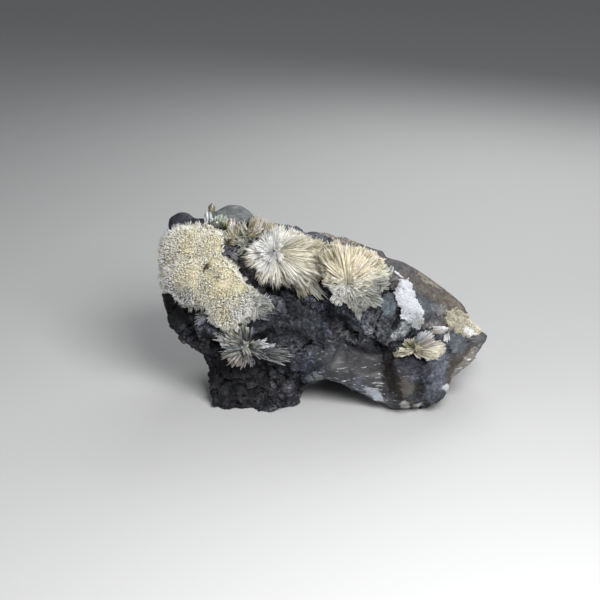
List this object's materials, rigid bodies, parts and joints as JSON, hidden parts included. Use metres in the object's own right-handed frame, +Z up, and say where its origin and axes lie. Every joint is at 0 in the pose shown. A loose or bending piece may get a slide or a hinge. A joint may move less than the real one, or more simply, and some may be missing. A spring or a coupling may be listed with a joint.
{
  "type": "aragonite crystal specimen",
  "caption": "Loose dark mineral specimen with a wedge-shaped outline that rests on a flat underside and carries radiating sprays of pale aragonite needles on its sloping front.",
  "frame": {"origin": "on the floor under the middle of the bounding box", "axes": "+X along the specimen's length towards its thin tip, -Y towards the crystal-covered front, +Z up from the floor it rests on"},
  "size_m": [0.1098, 0.0614, 0.0683],
  "materials": {
    "dark_stone": "rough broken stone, smooth and waxy low on the right",
    "cream_needles": "glossy cream needles",
    "white_needles": "glossy white needles with cream tips",
    "brown_blades": "glassy olive-brown and greenish blades",
    "grey_blades": "glassy grey-white blades",
    "yellow_crust": "granular pale yellow crust",
    "white_crust": "sparkling white crust"
  },
  "bodies": {
    "root": {"matrix": "dark_stone", "spray_left": "cream_needles", "spray_centre": "white_needles", "spray_right": "cream_needles", "spray_crest": "brown_blades", "crystals_top": "brown_blades", "spray_lower": "grey_blades", "spray_ledge": "cream_needles", "crust_tip": "yellow_crust", "crust_white": "white_crust"}
  },
  "joints": []
}
